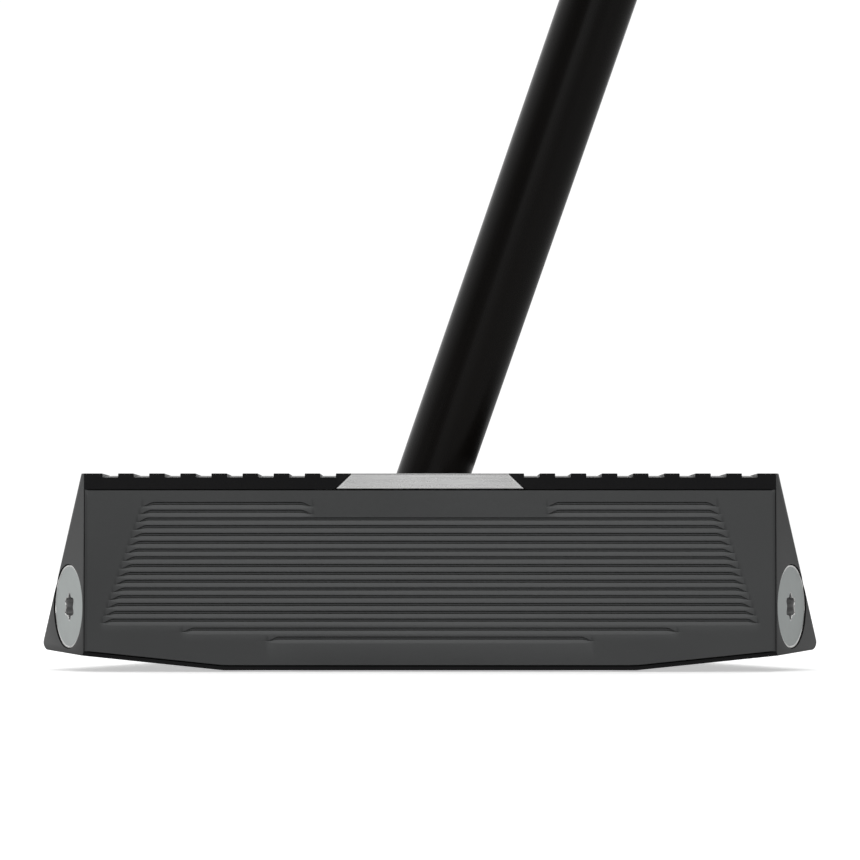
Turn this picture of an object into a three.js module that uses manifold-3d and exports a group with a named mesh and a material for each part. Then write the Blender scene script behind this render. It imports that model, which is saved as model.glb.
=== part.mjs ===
// Mallet putter, right-handed. Millimetres, +Z up, sole at z = 0.
// The strike face looks along -Y, the toe is at -X, the heel at +X, and the shaft leans toward +X.
import * as THREE from "three";
import { ConvexGeometry } from "three/addons/geometries/ConvexGeometry.js";
import { mergeVertices } from "three/addons/utils/BufferGeometryUtils.js";
import Module from "manifold-3d";

const wasm = await Module();
wasm.setup();

// ---------- driving dimensions ----------
const FACE_Y = -42; // strike face plane
const REAR_Y = 42; // trailing edge
const FACE_HALF = 44.5; // half width of the strike face
const HEAD_HALF = 50.8; // half width at the widest point
const HEIGHT = 25.3; // sole to crown
const FACET_DEPTH = 14.15; // front to back length of the side facets
const SIDE_LOW_Z = 3.6; // height of the outer edge at the widest point
const SIDE_TAPER = Math.tan((12.7 * Math.PI) / 180); // the sides close in toward the rear
const SOLE_FLAT_HALF = 26.5;
const SOLE_BEVEL = 1.86 / 18; // rise of the sole per mm outside the flat
const CROWN_END_Y = -12; // the crown block ends here and slopes down to the deck
const DECK_START_Y = 9;
const DECK_Z = 11.2;

const INSERT_TOP = 23.2;
const INSERT_T = 3.5;
const INSERT_HALF = 44.3;
const SOLE_LIP = 0.6; // body metal left under the insert
const GROOVE_PITCH = 1.0;
const GROOVE_ROWS = 16;
const GROOVE_FIRST_Z = 21.45;
const GROOVE_FIRST_HALF = 36.9;
const GROOVE_LAST_HALF = 42.1;
const GROOVE_BLANK_HALF = 15.2; // the first two rows leave the centre plain
const GROOVE_DEPTH = 0.24;

const RIDGE_PITCH = 4.0; // crown grooves and ridges, 2 mm each
const RIDGE_W = 2.0;
const CROWN_GROOVE_FIRST = 12.1;
const CROWN_GROOVE_DEPTH = 0.5;
const CROWN_GROOVE_RUN = 15;

const RISER_TOP_HALF = 10.1;
const RISER_BOTTOM_HALF = 12.0;
const RISER_BOTTOM_Z = 23.5;
const RISER_REAR_Y = -14;
const BOSS = { x0: -15, x1: 12, y0: -38.2, y1: -20, z0: 11 };

const SHAFT_Y = -29;
const SHAFT_X = 0.42; // where the axis crosses the crown
const SHAFT_SLOPE = 0.3467; // dx/dz of the axis
const SHAFT_TIP_R = 4.66;
const SHAFT_TAPER = 0.003; // radius per mm
const CLUB_LENGTH = 889; // 35 in along the shaft from the ground line to the grip end
const GRIP_LENGTH = 270;

const SIDE_WEIGHT = { r: 5.45, head: 2.2, rThread: 4.6, depth: 6.2, z: 8.17, back: 5.44, sink: 0.22 };
const SOLE_WEIGHT = { r: 4.5, head: 2.0, rThread: 3.9, z0: 0.6, z1: 6.6 };
const SOLE_WEIGHTS = [
  [-21, -30], [21, -30], [-21, -13], [21, -13],
  [-7.5, -13], [7.5, -13], [-21, 3], [21, 3],
];
const SCREWS = [[-12.0, -29], [9.2, -29]];

// ---------- helpers ----------
function solid(geometry, matrix) {
  const g = geometry.clone();
  g.deleteAttribute("normal");
  g.deleteAttribute("uv");
  if (matrix) g.applyMatrix4(matrix);
  const m = mergeVertices(g, 1e-4);
  return new wasm.Manifold(
    new wasm.Mesh({
      numProp: 3,
      vertProperties: new Float32Array(m.attributes.position.array),
      triVerts: new Uint32Array(m.index.array),
    }),
  );
}
function toGeometry(s) {
  const mesh = s.getMesh(), n = mesh.numProp;
  const v = new Float32Array(mesh.numVert * 3);
  for (let i = 0; i < mesh.numVert; i++)
    v.set(mesh.vertProperties.subarray(i * n, i * n + 3), i * 3);
  const g = new THREE.BufferGeometry();
  g.setAttribute("position", new THREE.BufferAttribute(v, 3));
  g.setIndex(new THREE.BufferAttribute(new Uint32Array(mesh.triVerts), 1));
  g.computeVertexNormals();
  return g;
}
const T = (x, y, z) => new THREE.Matrix4().makeTranslation(x, y, z);
const V = (x, y, z) => new THREE.Vector3(x, y, z);
function shapeOf(points) {
  return new THREE.Shape(points.map(([a, b]) => new THREE.Vector2(a, b)));
}
// A prism whose outline lies in XY, from z0 to z1.
function prismZ(points, z0, z1) {
  return solid(new THREE.ExtrudeGeometry(shapeOf(points), { depth: z1 - z0, bevelEnabled: false }), T(0, 0, z0));
}
// A prism whose outline lies in XZ, from y0 to y1.
function prismY(points, y0, y1) {
  const m = new THREE.Matrix4().makeRotationX(Math.PI / 2).premultiply(T(0, y1, 0));
  return solid(new THREE.ExtrudeGeometry(shapeOf(points), { depth: y1 - y0, bevelEnabled: false }), m);
}
// A prism whose outline lies in YZ, from x0 to x1.
function prismX(points, x0, x1) {
  const m = new THREE.Matrix4()
    .makeBasis(V(0, 1, 0), V(0, 0, 1), V(1, 0, 0))
    .premultiply(T(x0, 0, 0));
  return solid(new THREE.ExtrudeGeometry(shapeOf(points), { depth: x1 - x0, bevelEnabled: false }), m);
}
function hull(points) {
  return solid(new ConvexGeometry(points));
}
// A turned piece about local Z from [radius, z] pairs that start and end on the axis or close on themselves.
function turned(profile, segments, matrix) {
  const g = new THREE.LatheGeometry(profile.map(([r, z]) => new THREE.Vector2(r, z)), segments);
  const m = new THREE.Matrix4().makeRotationX(Math.PI / 2);
  if (matrix) m.premultiply(matrix);
  return solid(g, m);
}
const pin = (r, z0, z1, segments, matrix) =>
  turned([[0, z0], [r, z0], [r, z1], [0, z1]], segments, matrix);
// Six-lobe driver socket outline: one lobe points along +Y.
function lobes(rOuter, rInner, n = 24) {
  const mid = (rOuter + rInner) / 2, amp = (rOuter - rInner) / 2;
  return Array.from({ length: n }, (_, i) => {
    const a = (i / n) * 2 * Math.PI;
    const r = mid + amp * Math.cos(6 * a);
    return [r * Math.sin(-a), r * Math.cos(a)];
  });
}
const roundedBox = (x0, x1, y0, y1, r, n = 5) => {
  const pts = [];
  for (const [cx, cy, a0] of [[x1 - r, y1 - r, 0], [x0 + r, y1 - r, 90], [x0 + r, y0 + r, 180], [x1 - r, y0 + r, 270]])
    for (let i = 0; i <= n; i++) {
      const a = ((a0 + (90 * i) / n) * Math.PI) / 180;
      pts.push([cx + r * Math.cos(a), cy + r * Math.sin(a)]);
    }
  return pts;
};
const soleZ = (x) => Math.max(0, (Math.abs(x) - SOLE_FLAT_HALF) * SOLE_BEVEL);

const root = new THREE.Group();
root.name = "mallet_putter";
function add(name, s, colour, roughness, metalness) {
  const mesh = new THREE.Mesh(
    toGeometry(s),
    new THREE.MeshStandardMaterial({ color: colour, roughness, metalness }),
  );
  mesh.name = name;
  root.add(mesh);
}

// ---------- frames ----------
const shaftAngle = Math.atan(SHAFT_SLOPE);
const shaftDir = V(Math.sin(shaftAngle), 0, Math.cos(shaftAngle));
// Local Z runs up the shaft axis from the point where it crosses the crown.
const shaftFrame = new THREE.Matrix4()
  .makeRotationY(shaftAngle)
  .premultiply(T(SHAFT_X, SHAFT_Y, HEIGHT));
const groundS = -HEIGHT / Math.cos(shaftAngle);
const BUTT_S = CLUB_LENGTH + groundS;
const TIP_S = -11.9;
const shaftR = (s) => SHAFT_TIP_R + Math.max(0, s) * SHAFT_TAPER;

// Facet frame: local Z is the outward normal, local Y is up, the origin is the weight's centre on the facet.
const flare = Math.atan2(HEAD_HALF - FACE_HALF, FACET_DEPTH);
function facetFrame(side) {
  const n = V(side * Math.cos(flare), -Math.sin(flare), 0);
  const up = V(0, 0, 1);
  const across = new THREE.Vector3().crossVectors(up, n);
  const c = V(
    side * (FACE_HALF + SIDE_WEIGHT.back * Math.tan(flare)),
    FACE_Y + SIDE_WEIGHT.back,
    SIDE_WEIGHT.z,
  );
  return new THREE.Matrix4().makeBasis(across, up, n).setPosition(c);
}

// ---------- head body ----------
const sideXAt = (y) => HEAD_HALF - (y - (FACE_Y + FACET_DEPTH)) * SIDE_TAPER;
const outline = [
  [-FACE_HALF, FACE_Y], [FACE_HALF, FACE_Y], [HEAD_HALF, FACE_Y + FACET_DEPTH],
  [sideXAt(34), 34], [sideXAt(34) - 1.6, 37.6], [sideXAt(34) - 5.2, 40.6], [sideXAt(34) - 10, REAR_Y],
  [-sideXAt(34) + 10, REAR_Y], [-sideXAt(34) + 5.2, 40.6], [-sideXAt(34) + 1.6, 37.6], [-sideXAt(34), 34],
  [-HEAD_HALF, FACE_Y + FACET_DEPTH],
];
let body = prismZ(outline, 0, HEIGHT);

// Sole bevels toward toe and heel, and a gentle rise to the trailing edge.
for (const s of [-1, 1]) {
  const pts = [[SOLE_FLAT_HALF, 0], [60, (60 - SOLE_FLAT_HALF) * SOLE_BEVEL], [60, -2], [SOLE_FLAT_HALF, -2]].map(([x, z]) => [s * x, z]);
  body = body.subtract(prismY(s > 0 ? pts.reverse() : pts, -50, 50));
}
body = body.subtract(prismX([[33, 0], [50, 2.6], [50, -2], [33, -2]], -60, 60));

// Slanted upper sides: each plane holds the crown's side edge and the low outer edge.
for (const s of [-1, 1]) {
  const p1 = V(s * (FACE_HALF + 0.38), FACE_Y + 0.84, HEIGHT);
  const p2 = V(s * HEAD_HALF, FACE_Y + FACET_DEPTH, SIDE_LOW_Z);
  const d = V(-s * SIDE_TAPER, 1, 0).normalize();
  const h = new THREE.Vector3().subVectors(p1, p2);
  const n = new THREE.Vector3().crossVectors(h, d).normalize();
  if (n.x * s < 0) n.negate();
  const up = new THREE.Vector3().crossVectors(n, d).normalize();
  if (up.z < 0) up.negate();
  const pts = [];
  for (const a of [-60, 120])
    for (const b of [-26, 60])
      for (const c of [0, 50])
        pts.push(p2.clone().addScaledVector(d, a).addScaledVector(up, b).addScaledVector(n, c));
  let cut = hull(pts);
  // Below the low edge the side is left upright.
  cut = cut.subtract(prismZ([[-120, -120], [120, -120], [120, 120], [-120, 120]], -60, SIDE_LOW_Z));
  body = body.subtract(cut);
}

// The crown block eases down to the rear deck.
{
  const pts = [];
  const n = 10;
  for (let i = 0; i <= n; i++) {
    const t = i / n, y = CROWN_END_Y + (DECK_START_Y - CROWN_END_Y) * t;
    const e = t * t * (3 - 2 * t) * 0.75 + t * 0.25;
    pts.push([y, HEIGHT + (DECK_Z - HEIGHT) * e]);
  }
  pts.push([60, DECK_Z - 0.4], [60, 60], [CROWN_END_Y, 60]);
  body = body.subtract(prismX(pts, -70, 70));
  // The trailing edge leans in toward the top.
  body = body.subtract(prismX([[REAR_Y + 0.001, 5], [REAR_Y - 2.4, 14], [REAR_Y - 2.4, 30], [60, 30], [60, 5]], -70, 70));
}

// Two windows either side of the centre rib.
for (const s of [-1, 1]) {
  const w = [
    [8.5, 14.5], [9.0, 12.6], [10.2, 11.3], [12.2, 10.8], [30.0, 10.8], [32.2, 11.4], [33.5, 13.0], [33.6, 15.2],
    [30.3, 30.4], [29.3, 32.4], [27.8, 33.6], [25.8, 34], [12.2, 34], [10.2, 33.5], [9.0, 32.2], [8.5, 30.3],
  ].map(([x, y]) => [s * x, y]);
  body = body.subtract(prismZ(s > 0 ? w : w.reverse(), -5, 30));
}
// Crown alignment grooves: a 2 mm land, a 2 mm groove, and so on to the edge, running out behind the face.
for (let k = 0; k < 8; k++)
  for (const s of [-1, 1]) {
    const x0 = CROWN_GROOVE_FIRST + k * RIDGE_PITCH, x1 = x0 + RIDGE_W;
    const pts = [
      [FACE_Y - 2, HEIGHT - CROWN_GROOVE_DEPTH - (2 * CROWN_GROOVE_DEPTH) / CROWN_GROOVE_RUN],
      [FACE_Y + CROWN_GROOVE_RUN + 1.5, HEIGHT + (1.5 * CROWN_GROOVE_DEPTH) / CROWN_GROOVE_RUN],
      [FACE_Y - 2, HEIGHT + 3],
    ];
    body = body.subtract(prismX(pts, s > 0 ? x0 : -x1, s > 0 ? x1 : -x0));
  }

// Pocket for the face insert, open at the front.
const planPocket = [
  [-INSERT_HALF - 0.1, FACE_Y - 1], [INSERT_HALF + 0.1, FACE_Y - 1], [INSERT_HALF + 0.1, FACE_Y + 0.12],
  [36.9, FACE_Y + INSERT_T + 0.2], [-36.9, FACE_Y + INSERT_T + 0.2], [-INSERT_HALF - 0.1, FACE_Y + 0.12],
];
const frontOutline = (half, lip, top) => [
  [-half, soleZ(half) + lip], [-SOLE_FLAT_HALF, lip], [SOLE_FLAT_HALF, lip], [half, soleZ(half) + lip], [half, top], [-half, top],
];
body = body.subtract(
  prismZ(planPocket, -5, 40).intersect(prismY(frontOutline(INSERT_HALF + 0.1, SOLE_LIP - 0.08, INSERT_TOP + 0.08), -60, 60)),
);

// Dovetail slot and boss channel for the riser.
const riserSection = (g) => [
  [-RISER_BOTTOM_HALF - g, RISER_BOTTOM_Z - g], [RISER_BOTTOM_HALF + g, RISER_BOTTOM_Z - g],
  [RISER_TOP_HALF + g + (g ? -0.9 * (1.9 / 1.8) : 0), HEIGHT + (g ? 0.9 : 0)],
  [-RISER_TOP_HALF - g - (g ? -0.9 * (1.9 / 1.8) : 0), HEIGHT + (g ? 0.9 : 0)],
];
body = body
  .subtract(prismY(riserSection(0.08), FACE_Y - 1, RISER_REAR_Y + 0.06))
  .subtract(prismZ([[BOSS.x0 - 0.06, -38.5], [BOSS.x1 + 0.06, -38.5], [BOSS.x1 + 0.06, BOSS.y1 + 0.06], [BOSS.x0 - 0.06, BOSS.y1 + 0.06]], BOSS.z0 - 0.06, RISER_BOTTOM_Z))
  .subtract(prismZ([[-RISER_BOTTOM_HALF, FACE_Y - 1], [RISER_BOTTOM_HALF, FACE_Y - 1], [RISER_BOTTOM_HALF, -38.3], [-RISER_BOTTOM_HALF, -38.3]], INSERT_TOP - 0.5, RISER_BOTTOM_Z));

// Weight bores in the facets.
for (const s of [-1, 1]) {
  const f = facetFrame(s), w = SIDE_WEIGHT;
  body = body.subtract(
    turned([[0, -w.depth - w.sink - 0.3], [w.rThread + 0.1, -w.depth - w.sink - 0.3], [w.rThread + 0.1, -w.head - w.sink - 0.1],
      [w.r + 0.16, -w.head - w.sink - 0.1], [w.r + 0.16, 5], [0, 5]], 48, f),
  );
}
// Weight and screw holes in the sole.
for (const [x, y] of SOLE_WEIGHTS) {
  const w = SOLE_WEIGHT;
  body = body.subtract(
    turned([[0, -2], [w.r + 0.12, -2], [w.r + 0.12, w.z0 + w.head + 0.1], [w.rThread + 0.1, w.z0 + w.head + 0.1], [w.rThread + 0.1, w.z1 + 0.4], [0, w.z1 + 0.4]], 28, T(x, y, 0)),
  );
}
for (const [x, y] of SCREWS)
  body = body.subtract(turned([[0, -2], [3.7, -2], [3.7, 3.6], [2.3, 3.6], [2.3, BOSS.z0 + 1], [0, BOSS.z0 + 1]], 20, T(x, y, 0)));

// Groove for the sight line on the centre rib.
body = body.subtract(prismZ(roundedBox(-1.15, 1.15, 12, 37.2, 1.1, 6), DECK_Z - 1.2, 30));

add("head_body", body, 0x17181a, 0.42, 0.85);

// ---------- face insert ----------
let insert = prismZ(
  [
    [-INSERT_HALF, FACE_Y], [INSERT_HALF, FACE_Y], [INSERT_HALF, FACE_Y + 0.02 + 0.06],
    [36.7, FACE_Y + INSERT_T], [-36.7, FACE_Y + INSERT_T], [-INSERT_HALF, FACE_Y + 0.02 + 0.06],
  ], -5, 40,
).intersect(prismY(frontOutline(INSERT_HALF, SOLE_LIP, INSERT_TOP), -60, 60));
function millGroove(z, x0, x1) {
  const pts = [
    [FACE_Y - 0.3, z + 0.22 + 0.02], [FACE_Y + GROOVE_DEPTH, z + 0.08], [FACE_Y - 0.3, z - 0.42 - 0.55],
  ];
  return prismX(pts, x0, x1);
}
for (let i = 0; i < GROOVE_ROWS + 2; i++) {
  let z = GROOVE_FIRST_Z - i * GROOVE_PITCH;
  let half = GROOVE_FIRST_HALF + ((GROOVE_LAST_HALF - GROOVE_FIRST_HALF) * i) / (GROOVE_ROWS - 1);
  if (i === GROOVE_ROWS) [z, half] = [5.3, 31.8];
  if (i === GROOVE_ROWS + 1) [z, half] = [4.15, 20.85];
  if (i < 2) {
    insert = insert.subtract(millGroove(z, -half, -GROOVE_BLANK_HALF)).subtract(millGroove(z, GROOVE_BLANK_HALF, half));
  } else insert = insert.subtract(millGroove(z, -half, half));
}
add("face_insert", insert, 0x4b4c4e, 0.45, 0.9);

add(
  "face_insert_adhesive",
  prismY([[-36, 3.2], [36, 3.2], [36, 22.4], [-36, 22.4]], FACE_Y + INSERT_T + 0.03, FACE_Y + INSERT_T + 0.15),
  0x2a2a28, 0.8, 0,
);

// ---------- riser ----------
let riser = prismY(riserSection(0), FACE_Y, RISER_REAR_Y).add(
  prismZ([[BOSS.x0, BOSS.y0], [BOSS.x1, BOSS.y0], [BOSS.x1, BOSS.y1], [BOSS.x0, BOSS.y1]], BOSS.z0, RISER_BOTTOM_Z + 0.0)
    .add(prismZ([[-10, BOSS.y0], [10, BOSS.y0], [10, BOSS.y1], [-10, BOSS.y1]], 20, HEIGHT - 0.3)),
);
// Fine chamfer along the front top edge.
riser = riser.subtract(prismX([[FACE_Y - 1, HEIGHT - 0.3 - 1], [FACE_Y - 1, HEIGHT + 1], [FACE_Y + 1 + 0.3, HEIGHT + 1]], -20, 20));
const BORE_R = SHAFT_TIP_R + 0.26;
riser = riser.subtract(pin(BORE_R, -12, 20, 48, shaftFrame));
for (const [x, y] of SCREWS) riser = riser.subtract(pin(2.05, BOSS.z0 - 1, 20, 20, T(x, y, 0)));
add("riser", riser, 0xc4c4c2, 0.3, 1.0);

SCREWS.forEach(([x, y], i) => {
  let s = turned([[0, 0.9], [3.2, 0.9], [3.5, 1.2], [3.5, 3.5], [1.95, 3.5], [1.95, 19.2], [1.6, 19.6], [0, 19.6]], 20, T(x, y, 0));
  s = s.subtract(prismZ(lobes(1.7, 1.22).map(([a, b]) => [a + x, b + y]), 0, 2.6));
  add(i === 0 ? "riser_screw_toe" : "riser_screw_heel", s, 0x8d8f92, 0.35, 1.0);
});

// ---------- weights ----------
for (const s of [-1, 1]) {
  const f = facetFrame(s), w = SIDE_WEIGHT, top = -w.sink;
  let piece = turned(
    [[0, top - w.depth], [w.rThread - 0.5, top - w.depth], [w.rThread, top - w.depth + 0.5], [w.rThread, top - w.head],
      [w.r, top - w.head], [w.r, top - 0.16], [w.r - 0.16, top], [0, top]], 48, f);
  const socket = new THREE.ExtrudeGeometry(shapeOf(lobes(1.93, 1.4)), { depth: 4, bevelEnabled: false });
  piece = piece.subtract(solid(socket, f.clone().multiply(T(0, 0, top - 2.1))));
  add(s < 0 ? "toe_weight" : "heel_weight", piece, 0xa9abab, 0.35, 1.0);
}
SOLE_WEIGHTS.forEach(([x, y], i) => {
  const w = SOLE_WEIGHT;
  let s = turned([[0, w.z0], [w.r - 0.3, w.z0], [w.r, w.z0 + 0.3], [w.r, w.z0 + w.head], [w.rThread, w.z0 + w.head],
    [w.rThread, w.z1 - 0.4], [w.rThread - 0.4, w.z1], [0, w.z1]], 28, T(x, y, 0));
  s = s.subtract(prismZ(lobes(1.93, 1.4).map(([a, b]) => [a + x, b + y]), -1, w.z0 + 2.1));
  add("sole_weight_" + (i + 1), s, 0xa0a2a3, 0.38, 1.0);
});

// ---------- sight line ----------
add("sight_line", prismZ(roundedBox(-1.08, 1.08, 12.08, 37.12, 1.03, 6), DECK_Z - 1.16, DECK_Z - 0.62), 0xf2f2ee, 0.55, 0);

// ---------- shaft ----------
const SHAFT_END_S = BUTT_S - 3;
const shaft = turned(
  [[2.9, TIP_S], [shaftR(TIP_S) - 0.25, TIP_S], [shaftR(TIP_S), TIP_S + 0.5], [SHAFT_TIP_R, 0], [shaftR(SHAFT_END_S), SHAFT_END_S],
    [shaftR(SHAFT_END_S) - 1.3, SHAFT_END_S], [2.9, TIP_S + 60], [2.9, TIP_S]], 48, shaftFrame);
add("shaft", shaft, 0x0a0a0b, 0.2, 0.1);

// Epoxy film between the shaft tip and the riser's bore.
add(
  "shaft_epoxy",
  turned([[SHAFT_TIP_R + 0.04, TIP_S + 0.6], [BORE_R - 0.04, TIP_S + 0.6], [BORE_R - 0.04, -2.2], [SHAFT_TIP_R + 0.04, -2.2], [SHAFT_TIP_R + 0.04, TIP_S + 0.6]], 48, shaftFrame),
  0x1c1c1c, 0.5, 0,
);

// ---------- grip ----------
const GRIP_S0 = BUTT_S - GRIP_LENGTH;
const GRIP_S1 = BUTT_S - 2.7;
add(
  "grip_tape",
  turned([[shaftR(GRIP_S0 + 4) + 0.05, GRIP_S0 + 4], [shaftR(GRIP_S0 + 4) + 0.4, GRIP_S0 + 4], [shaftR(SHAFT_END_S - 2) + 0.4, SHAFT_END_S - 2],
    [shaftR(SHAFT_END_S - 2) + 0.05, SHAFT_END_S - 2], [shaftR(GRIP_S0 + 4) + 0.05, GRIP_S0 + 4]], 48, shaftFrame),
  0xcabf9a, 0.8, 0,
);
// D-shaped section with the flat toward -Y: hull points at height s, width w, front depth f, back depth b.
function dSection(s, w, f, b) {
  const pts = [];
  const rc = Math.min(w, f + b) * 0.22;
  for (const [cx, cy] of [[w / 2 - rc, -f + rc], [-w / 2 + rc, -f + rc]])
    for (let i = 0; i < 16; i++) {
      const a = (i / 16) * 2 * Math.PI;
      pts.push(V(cx + rc * Math.cos(a), cy + rc * Math.sin(a), s));
    }
  for (let i = 0; i <= 24; i++) {
    const a = (i / 24) * Math.PI;
    pts.push(V((w / 2) * Math.cos(a), b * Math.sin(a), s));
  }
  return pts;
}
function ring(s, r, n = 32) {
  return Array.from({ length: n }, (_, i) => V(r * Math.cos((i / n) * 2 * Math.PI), r * Math.sin((i / n) * 2 * Math.PI), s));
}
let grip = solid(new ConvexGeometry([
  ...ring(GRIP_S0, shaftR(GRIP_S0) + 1.6), ...dSection(GRIP_S0 + 7, 20.4, 9.2, 10.6),
  ...dSection(GRIP_S1, 27.2, 12.2, 15.4),
]), shaftFrame);
grip = grip.subtract(turned([[0, GRIP_S0 - 5], [shaftR(GRIP_S0) + 0.46, GRIP_S0 - 5], [shaftR(GRIP_S1) + 0.5, GRIP_S1 + 5], [0, GRIP_S1 + 5]], 48, shaftFrame));
add("grip", grip, 0x1c1d1f, 0.85, 0);

let cap = solid(new ConvexGeometry([
  ...dSection(GRIP_S1 + 0.1, 27.2, 12.2, 15.4), ...dSection(BUTT_S - 0.9, 26.6, 11.9, 15.1), ...dSection(BUTT_S, 24.6, 10.9, 14.1),
]), shaftFrame);
cap = cap.subtract(pin(1.1, GRIP_S1 - 3, BUTT_S + 3, 20, shaftFrame));
add("grip_end_cap", cap, 0x202123, 0.8, 0);

export default root;
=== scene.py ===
import math

import bmesh
import bpy
from mathutils import Matrix, Vector


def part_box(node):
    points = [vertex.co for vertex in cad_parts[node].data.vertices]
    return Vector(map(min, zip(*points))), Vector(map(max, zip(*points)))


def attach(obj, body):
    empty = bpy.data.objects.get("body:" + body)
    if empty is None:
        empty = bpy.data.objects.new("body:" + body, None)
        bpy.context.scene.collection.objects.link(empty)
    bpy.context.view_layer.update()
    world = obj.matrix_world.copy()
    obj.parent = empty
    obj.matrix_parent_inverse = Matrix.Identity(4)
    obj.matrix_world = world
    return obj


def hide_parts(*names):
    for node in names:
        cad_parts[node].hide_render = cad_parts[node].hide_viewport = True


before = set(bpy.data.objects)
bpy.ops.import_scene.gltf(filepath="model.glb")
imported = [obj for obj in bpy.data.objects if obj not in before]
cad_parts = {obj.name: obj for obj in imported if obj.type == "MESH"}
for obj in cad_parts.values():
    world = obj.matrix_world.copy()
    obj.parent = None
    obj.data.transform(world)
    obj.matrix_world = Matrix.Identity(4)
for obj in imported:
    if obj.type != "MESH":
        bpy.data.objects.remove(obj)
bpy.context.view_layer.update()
MM = 0.001

# ---------------------------------------------------------------- dimensions, from the CAD boxes where they exist
b_lo, b_hi = (v * 1000 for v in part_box("head_body"))
FACE_Y, REAR_Y = b_lo.y, b_hi.y
HEAD_HALF, HEIGHT = b_hi.x, b_hi.z
FACE_HALF = 44.5
FACET_DEPTH = 14.15
SIDE_LOW_Z = 3.6
SIDE_TAPER = math.tan(math.radians(12.7))
SOLE_FLAT = 26.5
SOLE_BEVEL = 1.86 / 18
CROWN_END_Y, DECK_START_Y, DECK_Z = -12.0, 9.0, 11.2
i_lo, i_hi = (v * 1000 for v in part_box("face_insert"))
INSERT_TOP, INSERT_HALF, INSERT_BACK = i_hi.z, i_hi.x + 0.10, i_hi.y
LIP = i_lo.z
RISER_TOP, RISER_BOT, RISER_Z = 10.1, 12.0, 23.5
RISER_REAR = -14.0
RISER_LIP_Z = 23.33
CORNER_R = 1.15
SHAFT_X, SHAFT_Y, SLOPE = 0.42, -29.0, 0.3467
ANG = math.atan(SLOPE)
TIP_R, TAPER = 4.66, 0.003
BUTT_S = 889 - HEIGHT / math.cos(ANG)
SHAFT_FRAME = Matrix.Translation((SHAFT_X, SHAFT_Y, HEIGHT)) @ Matrix.Rotation(ANG, 4, "Y")
SOLE_WEIGHTS = [(-21, -30), (21, -30), (-21, -13), (21, -13), (-7.5, -13), (7.5, -13), (-21, 3), (21, 3)]
SCREWS = [("riser_screw_toe", -12.0, -29), ("riser_screw_heel", 9.2, -29)]


def shaft_r(s):
    return TIP_R + max(0.0, s) * TAPER


def sole_z(x):
    return max(0.0, (abs(x) - SOLE_FLAT) * SOLE_BEVEL)


# ---------------------------------------------------------------- mesh helpers
def obj_from(name, verts, faces, smooth=False):
    me = bpy.data.meshes.new(name)
    me.from_pydata([tuple(v) for v in verts], [], faces)
    me.validate()
    me.update()
    if smooth:
        for p in me.polygons:
            p.use_smooth = True
    o = bpy.data.objects.new(name, me)
    bpy.context.scene.collection.objects.link(o)
    return o


def from_bm(name, bm):
    bmesh.ops.recalc_face_normals(bm, faces=bm.faces[:])
    me = bpy.data.meshes.new(name)
    bm.to_mesh(me)
    bm.free()
    o = bpy.data.objects.new(name, me)
    bpy.context.scene.collection.objects.link(o)
    return o


def prism(name, pts, a, b, plane="XY"):
    """A closed prism of the outline pts between a and b along the third axis."""
    def at(p, t):
        if plane == "XY":
            return (p[0], p[1], t)
        if plane == "XZ":
            return (p[0], t, p[1])
        return (t, p[0], p[1])

    n = len(pts)
    verts = [at(p, a) for p in pts] + [at(p, b) for p in pts]
    faces = [tuple(range(n)), tuple(range(2 * n - 1, n - 1, -1))]
    faces += [(i, (i + 1) % n, n + (i + 1) % n, n + i) for i in range(n)]
    o = obj_from(name, verts, faces)
    fix(o)
    return o


def lathe(name, profile, n, matrix=None):
    """A turned closed solid from (radius, z) pairs, first and last on the axis or a closed loop."""
    bm = bmesh.new()
    closed = profile[0] != profile[-1] and profile[0][0] <= 1e-9 and profile[-1][0] <= 1e-9
    loop = profile if closed else profile[:-1]
    rings = []
    for r, z in loop:
        if r <= 1e-9:
            rings.append([bm.verts.new((0, 0, z))])
        else:
            rings.append([bm.verts.new((r * math.cos(2 * math.pi * i / n), r * math.sin(2 * math.pi * i / n), z)) for i in range(n)])
    pairs = list(zip(rings, rings[1:])) + ([] if closed else [(rings[-1], rings[0])])
    for a, b in pairs:
        for i in range(n):
            j = (i + 1) % n
            if len(a) == 1 and len(b) == 1:
                continue
            if len(a) == 1:
                bm.faces.new((a[0], b[i], b[j]))
            elif len(b) == 1:
                bm.faces.new((a[i], b[0], a[j]))
            else:
                bm.faces.new((a[i], b[i], b[j], a[j]))
    if matrix is not None:
        bmesh.ops.transform(bm, matrix=matrix, verts=bm.verts[:])
    return from_bm(name, bm)


def fix(o):
    bm = bmesh.new()
    bm.from_mesh(o.data)
    bmesh.ops.recalc_face_normals(bm, faces=bm.faces[:])
    bm.to_mesh(o.data)
    bm.free()
    o.data.update()


def joined(name, objs):
    bm = bmesh.new()
    for o in objs:
        bm.from_mesh(o.data)
        bpy.data.objects.remove(o)
    return from_bm(name, bm)


def boolean(o, cutter, op="DIFFERENCE"):
    m = o.modifiers.new("b", "BOOLEAN")
    m.operation, m.solver, m.object = op, "EXACT", cutter
    dg = bpy.context.evaluated_depsgraph_get()
    dg.update()
    me = bpy.data.meshes.new_from_object(o.evaluated_get(dg))
    o.modifiers.clear()
    old = o.data
    o.data = me
    bpy.data.meshes.remove(old)
    bpy.data.objects.remove(cutter)
    return o


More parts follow.
